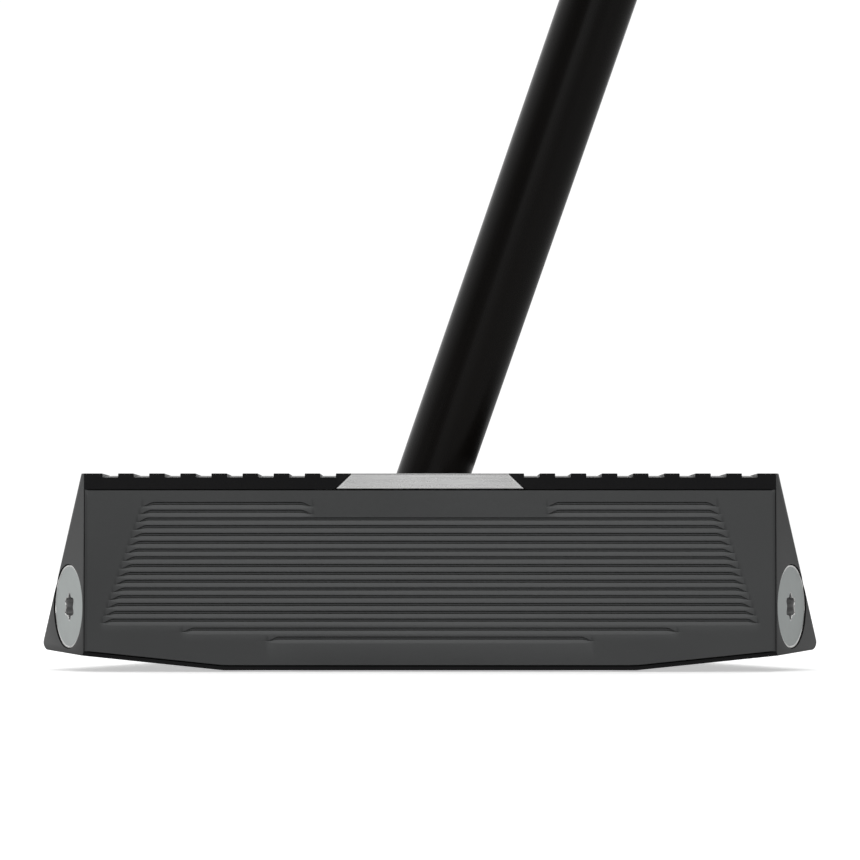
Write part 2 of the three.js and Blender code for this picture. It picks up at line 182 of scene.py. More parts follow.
def bevel_sharp(o, width, angle=20.0, segments=2, keep=None):
    """Rounds every edge sharper than angle. keep(edge) picks which edges."""
    bm = bmesh.new()
    bm.from_mesh(o.data)
    bmesh.ops.remove_doubles(bm, verts=bm.verts[:], dist=1e-4)
    bmesh.ops.dissolve_limit(bm, angle_limit=math.radians(0.5), verts=bm.verts[:], edges=bm.edges[:])
    bm.normal_update()
    edges = [e for e in bm.edges if len(e.link_faces) == 2 and e.calc_face_angle(0) > math.radians(angle) and (keep is None or keep(e))]
    bmesh.ops.bevel(bm, geom=edges, offset=width, offset_type="OFFSET", segments=segments, profile=0.5, affect="EDGES", clamp_overlap=True)
    bm.to_mesh(o.data)
    bm.free()
    o.data.update()
    return o


def bisect(o, point, normal):
    """Cuts away what lies on the normal's side of the plane and closes the cut."""
    bm = bmesh.new()
    bm.from_mesh(o.data)
    r = bmesh.ops.bisect_plane(bm, geom=bm.verts[:] + bm.edges[:] + bm.faces[:], plane_co=point, plane_no=normal, clear_outer=True)
    edges = [e for e in r["geom_cut"] if isinstance(e, bmesh.types.BMEdge)]
    bmesh.ops.contextual_create(bm, geom=edges)
    bmesh.ops.recalc_face_normals(bm, faces=bm.faces[:])
    bm.to_mesh(o.data)
    bm.free()
    o.data.update()
    return o


def arc_pts(cx, cy, r, a0, a1, n):
    return [(cx + r * math.cos(math.radians(a0 + (a1 - a0) * i / n)), cy + r * math.sin(math.radians(a0 + (a1 - a0) * i / n))) for i in range(n + 1)]


def rounded_rect(x0, x1, y0, y1, r, n=8):
    return (arc_pts(x1 - r, y1 - r, r, 0, 90, n) + arc_pts(x0 + r, y1 - r, r, 90, 180, n)
            + arc_pts(x0 + r, y0 + r, r, 180, 270, n) + arc_pts(x1 - r, y0 + r, r, 270, 360, n))


def lobes(r_out, r_in, n=96, grow=0.0):
    mid, amp = (r_out + r_in) / 2, (r_out - r_in) / 2
    out = []
    for i in range(n):
        a = 2 * math.pi * i / n
        r = mid + amp * math.cos(6 * a) + grow
        out.append((-r * math.sin(a), r * math.cos(a)))
    return out


def loft(name, sections, matrix=None, cap=True):
    """Joins rings of equal point counts into a closed solid."""
    bm = bmesh.new()
    rings = [[bm.verts.new(p) for p in s] for s in sections]
    n = len(rings[0])
    for a, b in zip(rings, rings[1:]):
        for i in range(n):
            bm.faces.new((a[i], a[(i + 1) % n], b[(i + 1) % n], b[i]))
    if cap:
        bm.faces.new(rings[0])
        bm.faces.new(rings[-1])
    if matrix is not None:
        bmesh.ops.transform(bm, matrix=matrix, verts=bm.verts[:])
    return from_bm(name, bm)


def socket_cutter(name, top, depth, matrix=None):
    """A six-lobe driver recess with a lead-in chamfer and a coned floor."""
    rings = []
    for z, grow in ((top + 0.5, 0.50), (top, 0.12), (top - 0.14, 0.0), (top - depth, -0.03)):
        rings.append([(x, y, z) for x, y in lobes(1.76, 1.30, grow=grow)])
    rings.append([(x * 0.45, y * 0.45, top - depth - 0.2) for x, y in lobes(1.76, 1.30)])
    return loft(name, rings, matrix)


def thread_profile(r, z0, z1, step=0.1):
    """Closely spaced profile points for a threaded length."""
    n = max(2, int(round(abs(z1 - z0) / step)))
    return [(r, z0 + (z1 - z0) * i / n) for i in range(n + 1)]


def cut_thread(o, r, z0, z1, pitch, depth):
    """Turns a plain turned length of radius r into a right-hand helical thread, faded in at both ends."""
    lo, hi = min(z0, z1), max(z0, z1)
    for v in o.data.vertices:
        x, y, z = v.co
        rad = math.hypot(x, y)
        if abs(rad - r) > 0.01 or z < lo - 1e-4 or z > hi + 1e-4:
            continue
        f = (z / pitch - math.atan2(y, x) / (2 * math.pi)) % 1.0
        tri = abs(2 * f - 1)
        fade = min(1.0, (z - lo) / (pitch * 0.6), (hi - z) / (pitch * 0.6))
        new = r - depth * min(1.0, max(0.0, 1.2 * tri - 0.1)) * max(0.0, fade)
        v.co.x, v.co.y = x * new / rad, y * new / rad
    o.data.update()


def finish_mesh(o, auto=28.0):
    """Millimetres to metres, smooth shading split at real edges."""
    o.data.transform(Matrix.Scale(MM, 4))
    for p in o.data.polygons:
        p.use_smooth = True
    bm = bmesh.new()
    bm.from_mesh(o.data)
    for e in bm.edges:
        e.smooth = not (len(e.link_faces) == 2 and e.calc_face_angle(0) > math.radians(auto))
    bm.to_mesh(o.data)
    bm.free()
    o.data.update()
    return o


def place(o, body, node, mats, auto=28.0, matrix=None):
    finish_mesh(o, auto)
    if matrix is not None:
        m = matrix.copy()
        m.translation *= MM
        o.matrix_world = m
    if not isinstance(mats, (list, tuple)):
        mats = [mats]
    o.data.materials.clear()
    for m in mats:
        o.data.materials.append(m)
    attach(o, body)
    if node:
        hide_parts(*([node] if isinstance(node, str) else node))
    return o


# ---------------------------------------------------------------- materials
class Mat:
    """A small builder for procedural materials."""

    def __init__(self, name, base, metallic, rough):
        self.m = bpy.data.materials.new(name)
        self.m.use_nodes = True
        self.t = self.m.node_tree
        self.b = self.t.nodes["Principled BSDF"]
        self.b.inputs["Base Color"].default_value = (*base, 1)
        self.b.inputs["Metallic"].default_value = metallic
        self.b.inputs["Roughness"].default_value = rough
        self.tc = self.t.nodes.new("ShaderNodeTexCoord")

    def node(self, kind, **kw):
        n = self.t.nodes.new(kind)
        for k, v in kw.items():
            if k in n.inputs.keys():
                n.inputs[k].default_value = v
            else:
                setattr(n, k, v)
        return n

    def link(self, a, b):
        self.t.links.new(a, b)

    def coords(self, scale=(1, 1, 1), rot=(0, 0, 0)):
        n = self.node("ShaderNodeMapping")
        n.inputs["Scale"].default_value = scale
        n.inputs["Rotation"].default_value = rot
        self.link(self.tc.outputs["Object"], n.inputs["Vector"])
        return n.outputs["Vector"]

    def noise(self, vec, scale, detail=4.0, rough=0.55, distortion=0.0):
        n = self.node("ShaderNodeTexNoise", Scale=scale, Detail=detail, Roughness=rough, Distortion=distortion)
        self.link(vec, n.inputs["Vector"])
        return n.outputs["Fac"]

    def ramp(self, fac, stops):
        n = self.node("ShaderNodeValToRGB")
        e = n.color_ramp.elements
        while len(e) < len(stops):
            e.new(0.5)
        for el, (p, c) in zip(e, stops):
            el.position = p
            el.color = (*c, 1) if len(c) == 3 else c
        self.link(fac, n.inputs["Fac"])
        return n.outputs["Color"]

    def remap(self, fac, lo, hi, a, b):
        n = self.node("ShaderNodeMapRange")
        n.inputs["From Min"].default_value = lo
        n.inputs["From Max"].default_value = hi
        n.inputs["To Min"].default_value = a
        n.inputs["To Max"].default_value = b
        self.link(fac, n.inputs["Value"])
        return n.outputs["Result"]

    def math(self, op, a, b):
        n = self.node("ShaderNodeMath", operation=op)
        for i, v in enumerate((a, b)):
            if isinstance(v, (int, float)):
                n.inputs[i].default_value = v
            else:
                self.link(v, n.inputs[i])
        return n.outputs["Value"]

    def mix(self, fac, a, b):
        n = self.node("ShaderNodeMix", data_type="RGBA")
        for sock, v in ((n.inputs[0], fac), (n.inputs[6], a), (n.inputs[7], b)):
            if isinstance(v, tuple):
                sock.default_value = (*v, 1)
            elif isinstance(v, (int, float)):
                sock.default_value = v
            else:
                self.link(v, sock)
        return n.outputs[2]

    def bump(self, height, strength, distance, under=None):
        n = self.node("ShaderNodeBump")
        n.inputs["Strength"].default_value = strength
        n.inputs["Distance"].default_value = distance
        self.link(height, n.inputs["Height"])
        if under is not None:
            self.link(under, n.inputs["Normal"])
        return n.outputs["Normal"]

    def set(self, color=None, rough=None, normal=None, metallic=None):
        if color is not None:
            self.link(color, self.b.inputs["Base Color"])
        if rough is not None:
            self.link(rough, self.b.inputs["Roughness"])
        if normal is not None:
            self.link(normal, self.b.inputs["Normal"])
        if metallic is not None:
            self.link(metallic, self.b.inputs["Metallic"])
        return self.m


def anodised_black():
    """Fine bead-blast grain, slow tonal drift, a little handling wear."""
    k = Mat("anodised_black", (0.012, 0.012, 0.013), 0.0, 0.5)
    k.b.inputs["Specular IOR Level"].default_value = 0.12
    v = k.coords()
    grain = k.noise(v, 5200, 3, 0.6)
    cloud = k.noise(v, 38, 4, 0.55)
    smear = k.noise(k.coords((1, 3.0, 1)), 210, 5, 0.6, 0.4)
    col = k.mix(k.remap(cloud, 0.3, 0.7, 0, 1), (0.0030, 0.0030, 0.0034), (0.0052, 0.0050, 0.0054))
    rough = k.math("ADD", k.remap(smear, 0.3, 0.7, 0.32, 0.42), k.remap(grain, 0.3, 0.7, -0.03, 0.03))
    n = k.bump(grain, 0.35, 0.00002)
    return k.set(col, rough, n)


def insert_grey(name="insert_grey", horizontal=True, base=0.165):
    """Dark grey finish on stainless steel with faint milling lay."""
    k = Mat(name, (base, base, base), 1.0, 0.45)
    v = k.coords()
    grain = k.noise(v, 6500, 3, 0.65)
    lay = k.noise(k.coords((18, 60, 900) if horizontal else (400, 400, 30)), 6.0, 3, 0.6)
    cloud = k.noise(v, 30, 4, 0.5)
    a, b = base * 0.90, base * 1.10
    col = k.mix(k.remap(cloud, 0.3, 0.7, 0, 1), (a * 0.985, a * 1.005, a * 1.01), (b * 0.985, b * 1.005, b * 1.01))
    rough = k.math("ADD", k.remap(cloud, 0.3, 0.7, 0.40, 0.47), k.remap(grain, 0.3, 0.7, -0.025, 0.025))
    n = k.bump(lay, 0.10, 0.00002, k.bump(grain, 0.22, 0.00002))
    return k.set(col, rough, n)


def satin_steel(name="satin_steel", base=0.56, scale=(900, 20, 20), rough=0.30, lines=0.16):
    k = Mat(name, (base, base, base), 1.0, rough)
    v = k.coords()
    lay = k.noise(k.coords(scale), 5.0, 4, 0.65)
    cloud = k.noise(v, 90, 4, 0.55)
    grain = k.noise(v, 7000, 2, 0.6)
    col = k.mix(k.remap(cloud, 0.3, 0.7, 0, 1), (base * 0.94, base * 0.94, base * 0.935), (base * 1.05, base * 1.05, base * 1.045))
    r = k.math("ADD", k.remap(lay, 0.3, 0.7, rough - 0.05, rough + 0.06), k.remap(grain, 0.3, 0.7, -0.02, 0.02))
    n = k.bump(lay, lines, 0.00002, k.bump(grain, 0.06, 0.00001))
    return k.set(col, r, n)


def turned_steel(name, base, rough, rings=2600.0):
    """Concentric turning marks about the piece's own Z axis."""
    k = Mat(name, (base, base, base), 1.0, rough)
    v = k.coords()
    w = k.node("ShaderNodeTexWave", wave_type="RINGS", rings_direction="Z", wave_profile="SIN")
    w.inputs["Scale"].default_value = rings
    w.inputs["Distortion"].default_value = 1.2
    w.inputs["Detail"].default_value = 2.0
    w.inputs["Detail Scale"].default_value = 1.5
    k.link(v, w.inputs["Vector"])
    grain = k.noise(v, 6000, 3, 0.6)
    cloud = k.noise(v, 260, 4, 0.6)
    col = k.mix(k.remap(cloud, 0.3, 0.7, 0, 1), (base * 0.90, base * 0.95, base * 0.94), (base * 1.02, base * 1.08, base * 1.06))
    r = k.math("ADD", k.remap(cloud, 0.3, 0.7, rough - 0.04, rough + 0.05), k.remap(grain, 0.3, 0.7, -0.03, 0.03))
    n = k.bump(w.outputs["Fac"], 0.10, 0.00001, k.bump(grain, 0.25, 0.00001))
    return k.set(col, r, n)


def gloss_black():
    """Lacquer over carbon fibre: a faint warm base under a clear coat, light polishing haze."""
    k = Mat("gloss_black", (0.006, 0.0055, 0.005), 0.0, 0.34)
    v = k.coords()
    cloud = k.noise(k.coords((1, 1, 0.15)), 60, 4, 0.55)
    haze = k.noise(k.coords((1, 1, 0.05)), 700, 4, 0.6)
    col = k.mix(k.remap(cloud, 0.3, 0.7, 0, 1), (0.0022, 0.0020, 0.0018), (0.0042, 0.0034, 0.0028))
    r = k.math("ADD", k.remap(haze, 0.3, 0.7, 0.22, 0.30), k.remap(cloud, 0.3, 0.7, -0.03, 0.03))
    n = k.bump(haze, 0.05, 0.00002)
    k.b.inputs["Specular IOR Level"].default_value = 0.12
    return k.set(col, r, n)


def grip_rubber(name="grip_rubber", base=0.013, knurl=True):
    """Matt synthetic grip skin: crossed fine ribs over a pebbled grain, worn a little smoother in random patches."""
    k = Mat(name, (base, base, base), 0.0, 0.62)
    k.b.inputs["Specular IOR Level"].default_value = 0.42
    v = k.coords()
    vor = k.node("ShaderNodeTexVoronoi", feature="SMOOTH_F1")
    vor.inputs["Scale"].default_value = 1300
    k.link(v, vor.inputs["Vector"])
    grain = k.noise(v, 2600, 4, 0.6)
    wear = k.noise(v, 17, 3, 0.5)
    col = k.mix(k.remap(wear, 0.35, 0.7, 0, 1), (base * 0.85, base * 0.86, base * 0.9), (base * 1.5, base * 1.5, base * 1.5))
    r = k.math("ADD", k.remap(wear, 0.35, 0.7, 0.66, 0.50), k.remap(grain, 0.3, 0.7, -0.05, 0.05))
    n = k.bump(vor.outputs["Distance"], 0.45, 0.00012, k.bump(grain, 0.3, 0.00004))
    if knurl:
        ribs = []
        for turn in (45, -45):
            w = k.node("ShaderNodeTexWave", wave_type="BANDS", bands_direction="X", wave_profile="SIN")
            w.inputs["Scale"].default_value = 150
            k.link(k.coords((1, 1, 1), (0, math.radians(turn), 0)), w.inputs["Vector"])
            ribs.append(w.outputs["Fac"])
        cross = k.math("MULTIPLY", ribs[0], ribs[1])
        n = k.bump(cross, 0.75, 0.00042, n)
        # the rib valleys are painted darker than the crests: painted shade in the recesses between the crossed ribs
        col = k.mix(k.remap(cross, 0.0, 0.9, 0, 1), (base * 0.55, base * 0.55, base * 0.57), col)
    return k.set(col, r, n)


def plain(name, base, rough, metallic=0.0, spread=0.12, scale=300):
    k = Mat(name, base, metallic, rough)
    v = k.coords()
    cloud = k.noise(v, scale, 4, 0.6)
    grain = k.noise(v, 5000, 2, 0.6)
    lo = tuple(c * (1 - spread) for c in base)
    hi = tuple(min(1.0, c * (1 + spread)) for c in base)
    col = k.mix(k.remap(cloud, 0.3, 0.7, 0, 1), lo, hi)
    r = k.math("ADD", k.remap(cloud, 0.3, 0.7, rough - 0.06, rough + 0.06), k.remap(grain, 0.3, 0.7, -0.02, 0.02))
    n = k.bump(grain, 0.25, 0.00003)
    return k.set(col, r, n)


M_BODY = anodised_black()
M_FACET = insert_grey("facet_grey", False, 0.054)
M_INSERT = insert_grey("insert_grey", True, 0.082)
M_RISER = satin_steel("riser_satin", 0.74, (14, 620, 520), 0.28, 0.55)
M_DISC = turned_steel("weight_face", 0.50, 0.50)
M_RIM = plain("weight_rim", (0.66, 0.66, 0.65), 0.16, 1.0, 0.05, 800)
M_SOCKET = plain("weight_socket", (0.46, 0.46, 0.46), 0.48, 1.0, 0.12, 900)
M_SCREW = turned_steel("screw_steel", 0.33, 0.36)
M_SHAFT = gloss_black()
M_GRIP = grip_rubber()
M_CAP = grip_rubber("cap_rubber", 0.016, False)
M_EPOXY = plain("epoxy", (0.010, 0.010, 0.010), 0.35, 0, 0.3)
M_TAPE = plain("grip_tape", (0.55, 0.49, 0.36), 0.8, 0, 0.1)
M_FILM = plain("bond_film", (0.02, 0.02, 0.02), 0.7, 0, 0.3)
M_LINE = plain("sight_paint", (0.82, 0.82, 0.80), 0.5, 0, 0.03)

# ---------------------------------------------------------------- head body
flare = math.atan2(HEAD_HALF - FACE_HALF, FACET_DEPTH)


def side_x(y):
    return HEAD_HALF - (y - (FACE_Y + FACET_DEPTH)) * SIDE_TAPER


def facet_frame(s):
    n = Vector((s * math.cos(flare), -math.sin(flare), 0))
    up = Vector((0, 0, 1))
    across = up.cross(n)
    c = Vector((s * (FACE_HALF + 5.44 * math.tan(flare)), FACE_Y + 5.44, 8.17))
    m = Matrix.Identity(4)
    for i in range(3):
        m[i][0], m[i][1], m[i][2], m[i][3] = across[i], up[i], n[i], c[i]
    return m


sx = side_x(34)
outline = [(-FACE_HALF, FACE_Y), (FACE_HALF, FACE_Y), (HEAD_HALF, FACE_Y + FACET_DEPTH), (sx, 34), (sx - 1.6, 37.6), (sx - 5.2, 40.6), (sx - 10, REAR_Y),
           (-sx + 10, REAR_Y), (-sx + 5.2, 40.6), (-sx + 1.6, 37.6), (-sx, 34), (-HEAD_HALF, FACE_Y + FACET_DEPTH)]
body = prism("head_body_v", outline, 0, HEIGHT)
for s in (-1, 1):
    bisect(body, (s * SOLE_FLAT, 0, 0), Vector((s * SOLE_BEVEL, 0, -1)).normalized())
bisect(body, (0, 33, 0), Vector((0, 2.6, -17)).normalized())
for s in (-1, 1):
    p1 = Vector((s * (FACE_HALF + 0.38), FACE_Y + 0.84, HEIGHT))
    p2 = Vector((s * HEAD_HALF, FACE_Y + FACET_DEPTH, SIDE_LOW_Z))
    d = Vector((-s * SIDE_TAPER, 1, 0)).normalized()
    n = (p1 - p2).cross(d).normalized()
    if n.x * s < 0:
        n = -n
    bisect(body, p2, n)
# The lip under the insert is chamfered, along the flat and along both bevels.
bisect(body, (0, FACE_Y, 0.5), Vector((0, -0.5, -0.42)).normalized())
for s in (-1, 1):
    along = Vector((s, 0, SOLE_BEVEL)).normalized()
    n = along.cross(Vector((0, 0.42, -0.5))).normalized()
    if n.z > 0:
        n = -n
    bisect(body, (s * SOLE_FLAT, FACE_Y, 0.5), n)
for s in (-1, 1):
    d = Vector((-s * SIDE_TAPER, 1, 0)).normalized()
    across = Vector((d.y, -d.x, 0)) * s
    for a in range(10, 90, 12):
        r = math.radians(a)
        nrm = across * math.cos(r) + Vector((0, 0, -1)) * math.sin(r)
        centre = Vector((s * (HEAD_HALF - CORNER_R), FACE_Y + FACET_DEPTH, 2.42 + CORNER_R))
        bisect(body, centre + nrm.normalized() * CORNER_R, nrm.normalized())
bisect(body, (0, REAR_Y, 5), Vector((0, 9, 2.4)).normalized())
# Crown to deck.
pts = []
NS = 28
for i in range(NS + 1):
    t = i / NS
    e = t * t * (3 - 2 * t) * 0.75 + t * 0.25
    pts.append((CROWN_END_Y + (DECK_START_Y - CROWN_END_Y) * t, HEIGHT + (DECK_Z - HEIGHT) * e))
pts += [(60, DECK_Z - 0.4), (60, 60), (CROWN_END_Y, 60)]
boolean(body, prism("c", pts, -70, 70, "YZ"))
bevel_sharp(body, 0.26, 22, 3)

# Windows, each with a small chamfer round both mouths.
WIN = [(8.5, 14.5), (9.0, 12.6), (10.2, 11.3), (12.2, 10.8), (30.0, 10.8), (32.2, 11.4), (33.5, 13.0), (33.6, 15.2),
       (30.3, 30.4), (29.3, 32.4), (27.8, 33.6), (25.8, 34), (12.2, 34), (10.2, 33.5), (9.0, 32.2), (8.5, 30.3)]


def offset_loop(pts, d):
    n, out = len(pts), []
    for i in range(n):
        a, b, c = Vector(pts[i - 1]), Vector(pts[i]), Vector(pts[(i + 1) % n])
        e1, e2 = (b - a).normalized(), (c - b).normalized()
        n1, n2 = Vector((e1.y, -e1.x)), Vector((e2.y, -e2.x))
        m = (n1 + n2).normalized()
        out.append(tuple(b + m * (d / max(0.3, m.dot(n1)))))
    return out


for s in (-1, 1):
    w = [(s * x, y) for x, y in WIN]
    if s < 0:
        w.reverse()
    wide, wider = offset_loop(w, 0.5), offset_loop(w, 1.0)
    boolean(body, loft("c", [[(x, y, -1.0) for x, y in wider], [(x, y, 0.5) for x, y in w], [(x, y, DECK_Z - 0.65) for x, y in w],
                              [(x, y, DECK_Z + 0.5) for x, y in offset_loop(w, 1.15)], [(x, y, 30) for x, y in offset_loop(w, 1.15)]]))

# Crown alignment grooves.
cutters = []
for k in range(8):
    for s in (-1, 1):
        x0 = 12.1 + 4.0 * k
        xa, xb = (x0, x0 + 2) if s > 0 else (-x0 - 2, -x0)
        z0 = HEIGHT - 0.5 - 1.0 / 15
        z1 = HEIGHT + 1.5 * 0.5 / 15
        y0, y1 = FACE_Y - 2, FACE_Y + 16.5
        c = 0.08
        # the mouth is flared a little, which breaks the groove's long edges
        rings = [[(xa, y0, z0), (xb, y0, z0), (xb, y0, HEIGHT - c), (xb + c * 2, y0, HEIGHT + c), (xb + c * 2, y0, HEIGHT + 2), (xa - c * 2, y0, HEIGHT + 2), (xa - c * 2, y0, HEIGHT + c), (xa, y0, HEIGHT - c)],
                 [(xa, y1, z1), (xb, y1, z1), (xb, y1, z1 + 0.02), (xb + c, y1, z1 + 0.2), (xb + c, y1, HEIGHT + 2), (xa - c, y1, HEIGHT + 2), (xa - c, y1, z1 + 0.2), (xa, y1, z1 + 0.02)]]
        cutters.append(loft("c", rings))
boolean(body, joined("c", cutters))

# Insert pocket, open at the front.
plan = [(-INSERT_HALF - 0.02, FACE_Y - 1), (INSERT_HALF + 0.02, FACE_Y - 1), (INSERT_HALF + 0.02, FACE_Y + 0.12), (36.9, INSERT_BACK + 0.2), (-36.9, INSERT_BACK + 0.2), (-INSERT_HALF - 0.02, FACE_Y + 0.12)]
h = INSERT_HALF + 0.02
front = [(-h, sole_z(h) + LIP - 0.08), (-SOLE_FLAT, LIP - 0.08), (SOLE_FLAT, LIP - 0.08), (h, sole_z(h) + LIP - 0.08), (h, INSERT_TOP + 0.08), (-h, INSERT_TOP + 0.08)]
c = prism("c", plan, -5, 40)
boolean(c, prism("c2", front, -60, 60, "XZ"), "INTERSECT")
boolean(body, c)

# Dovetail slot, boss channel and the relief over the insert.
g = 0.05
k9 = 0.9 * 1.9 / 1.8
slot_pts = [(-RISER_BOT - g, RISER_Z - g), (RISER_BOT + g, RISER_Z - g), (RISER_TOP + g - k9, HEIGHT + 0.9), (-RISER_TOP - g + k9, HEIGHT + 0.9)]
boolean(body, prism("c", slot_pts, FACE_Y - 1, RISER_REAR + 0.05, "XZ"))
boolean(body, prism("c", [(-15.06, -38.5), (12.06, -38.5), (12.06, -19.94), (-15.06, -19.94)], 10.94, RISER_Z))
lip_half = RISER_BOT + (RISER_Z - RISER_LIP_Z + 0.05) * (RISER_BOT - RISER_TOP) / (HEIGHT - RISER_Z) + g
boolean(body, prism("c", [(-lip_half, RISER_LIP_Z - 0.05), (lip_half, RISER_LIP_Z - 0.05), (RISER_BOT + g - 0.1, RISER_Z + 0.1), (-RISER_BOT - g + 0.1, RISER_Z + 0.1)], FACE_Y - 1, -38.5, "XZ"))

# Bores for weights and screws, each with a broken mouth.
for s in (-1, 1):
    boolean(body, lathe("c", [(0, -6.8), (4.7, -6.8), (4.7, -2.5), (5.47, -2.5), (5.47, -0.03), (5.49, 0.0), (5.49, 5), (0, 5)], 128, facet_frame(s)))
cut = [lathe("c", [(0, -2), (4.9, -2), (4.62, 0.25), (4.62, 2.7), (4.0, 2.7), (4.0, 7.0), (0, 7.0)], 96, Matrix.Translation((x, y, 0))) for x, y in SOLE_WEIGHTS]
cut += [lathe("c", [(0, -2), (3.9, -2), (3.7, 0.2), (3.7, 3.6), (2.3, 3.6), (2.3, 12), (0, 12)], 64, Matrix.Translation((x, y, 0))) for _, x, y in SCREWS]
boolean(body, joined("c", cut))
# Sight line groove.
boolean(body, prism("c", rounded_rect(-1.15, 1.15, 12, 37.2, 1.12, 10), DECK_Z - 1.2, 30))

# The two side facets carry the insert's finish; everything else is black.
place(body, "putter", "head_body", [M_BODY, M_FACET], 24.0)
for p in body.data.polygons:
    for s in (-1, 1):
        n = Vector((s * math.cos(flare), -math.sin(flare), 0))
        q = p.center / MM
        if p.normal.dot(n) > 0.999 and (q - Vector((s * FACE_HALF, FACE_Y, 0))).dot(n) > -0.05:
            p.material_index = 1
        if s * q.x > FACE_HALF - 0.6 and q.y < FACE_Y + 0.4 and sole_z(q.x) + 0.3 < q.z < HEIGHT - 0.4 and p.normal.y < -0.3:
            p.material_index = 1

# ---------------------------------------------------------------- face insert
def smooth01(t):
    t = min(1.0, max(0.0, t))
    return t * t * (3 - 2 * t)


ROWS = []
for i in range(16):
    z = 21.45 - i
    half = 36.9 + (42.1 - 36.9) * i / 15
    ROWS.append((z, half, 15.2 if i < 2 else 0.0))
ROWS += [(5.3, 31.8, 0.0), (4.15, 20.85, 0.0)]
PROFILE = [(0.19, 0.0), (0.17, 0.02), (0.08, 0.38), (-0.10, 0.38), (-0.19, 0.15), (-0.38, 0.09), (-0.57, 0.03), (-0.76, 0.0)]
CURL, TIP = 1.9, -0.46


def groove_state(row, x):
    """(depth share, how far the section has closed toward its tip) of a row's groove at x."""
    z, half, inner = ROWS[row]
    a = abs(x)
    t = max(0.0, (a - (half + 0.35 - CURL)) / CURL)
    depth, close = 1.0 - smooth01((t - 0.38) / 0.62), smooth01(t) if t < 1 else 1.0
    if inner:
        u = max(0.0, ((inner - 0.4 + CURL) - a) / CURL)
        depth *= 1.0 - smooth01((u - 0.38) / 0.62)
        close = max(close, smooth01(u) if u < 1 else 1.0 - smooth01((u - 1) / 0.8))
    return depth, close * 0.93


xs = set()
H = INSERT_HALF


def dense(a, b, step):
    n = max(1, int(round((b - a) / step)))
    for i in range(n + 1):
        xs.add(round(a + (b - a) * i / n, 4))


dense(0, 13, 1.3)
dense(13, 17.6, 0.14)
dense(17.6, 21.2, 0.2)
dense(21.2, 29.6, 1.4)
dense(29.6, 32.2, 0.2)
dense(32.2, 34.6, 0.6)
dense(34.6, 42.6, 0.11)
dense(42.6, H - 0.08, 0.4)
xs.add(round(H, 4))
cols = sorted({-x for x in xs} | xs)
CH = 0.10


def insert_column(x):
    """Section points (y, z) going down the front, then up the back."""
    zb, zt = LIP + sole_z(x), INSERT_TOP
    end = H - abs(x)
    yb = min(INSERT_BACK, FACE_Y + 0.09 + max(0.0, end) * (INSERT_BACK - FACE_Y - 0.08) / (H - 36.7))
    ch = min(CH, 0.3 * (yb - FACE_Y))
    lead = 0.05 if end < 0.01 else 0.0
    pts = [(FACE_Y + ch, zt), (FACE_Y + lead, zt - ch)]
    pts.append((FACE_Y + lead, 22.2))
    for r, (z, half, inner) in enumerate(ROWS):
        d, close = groove_state(r, x)
        for off, dep in PROFILE:
            pts.append((FACE_Y + lead + dep * d * (1 - 0.35 * close), z + off * (1 - close) + TIP * close))
    pts.append((FACE_Y + lead, zb + ch + 0.35))
    for i in range(len(pts) - 2, 1, -1):  # rows never cross
        if pts[i][1] < pts[i + 1][1] + 0.004:
            pts[i] = (pts[i][0], pts[i + 1][1] + 0.004)
    pts.append((FACE_Y + lead, zb + ch))
    pts.append((FACE_Y + ch, zb))
    pts.append((yb, zb))
    pts.append((yb, zt))
    return pts


bm = bmesh.new()
rings = [[bm.verts.new((x, y, z)) for y, z in insert_column(x)] for x in cols]
n = len(rings[0])
for a, b in zip(rings, rings[1:]):
    for i in range(n):
        bm.faces.new((a[i], a[(i + 1) % n], b[(i + 1) % n], b[i]))
bm.faces.new(rings[0])
bm.faces.new(rings[-1])
insert = from_bm("face_insert_v", bm)
place(insert, "putter", "face_insert", M_INSERT, 40.0)

# ---------------------------------------------------------------- riser
low_half = RISER_BOT + (RISER_Z - RISER_LIP_Z) * (RISER_BOT - RISER_TOP) / (HEIGHT - RISER_Z)
riser = prism("riser_v", [(-low_half, RISER_LIP_Z), (low_half, RISER_LIP_Z), (RISER_TOP, HEIGHT), (-RISER_TOP, HEIGHT)], FACE_Y, RISER_REAR, "XZ")
boolean(riser, prism("c", [(-16, -38.6), (16, -38.6), (16, 0), (-16, 0)], 20, RISER_Z))
bisect(riser, (0, FACE_Y, HEIGHT - 0.2), Vector((0, -math.cos(math.radians(37)), math.sin(math.radians(37)))))
for s in (-1, 1):
    edge = Vector((s * (RISER_TOP - low_half), 0, HEIGHT - RISER_LIP_Z)).normalized()
    out = Vector((s * edge.z, 0, abs(edge.x)))
    tilt = math.radians(28)
    bisect(riser, Vector((s * low_half, FACE_Y, RISER_LIP_Z)) - out * 0.22, (out * math.sin(tilt) + Vector((0, -math.cos(tilt), 0))).normalized())
bevel_sharp(riser, 0.05, 60, 1)
boolean(riser, prism("c", [(-15, -38.2), (12, -38.2), (12, -20), (-15, -20)], 11, RISER_Z + 0.1), "UNION")
boolean(riser, lathe("c", [(0, -12), (TIP_R + 0.24, -12), (TIP_R + 0.24, -0.25), (TIP_R + 0.55, 0.35), (TIP_R + 0.55, 20), (0, 20)], 128, SHAFT_FRAME))
boolean(riser, joined("c", [lathe("c", [(0, 9), (2.05, 9), (2.05, 20), (0, 20)], 48, Matrix.Translation((x, y, 0))) for _, x, y in SCREWS]))
place(riser, "putter", "riser", M_RISER, 24.0)

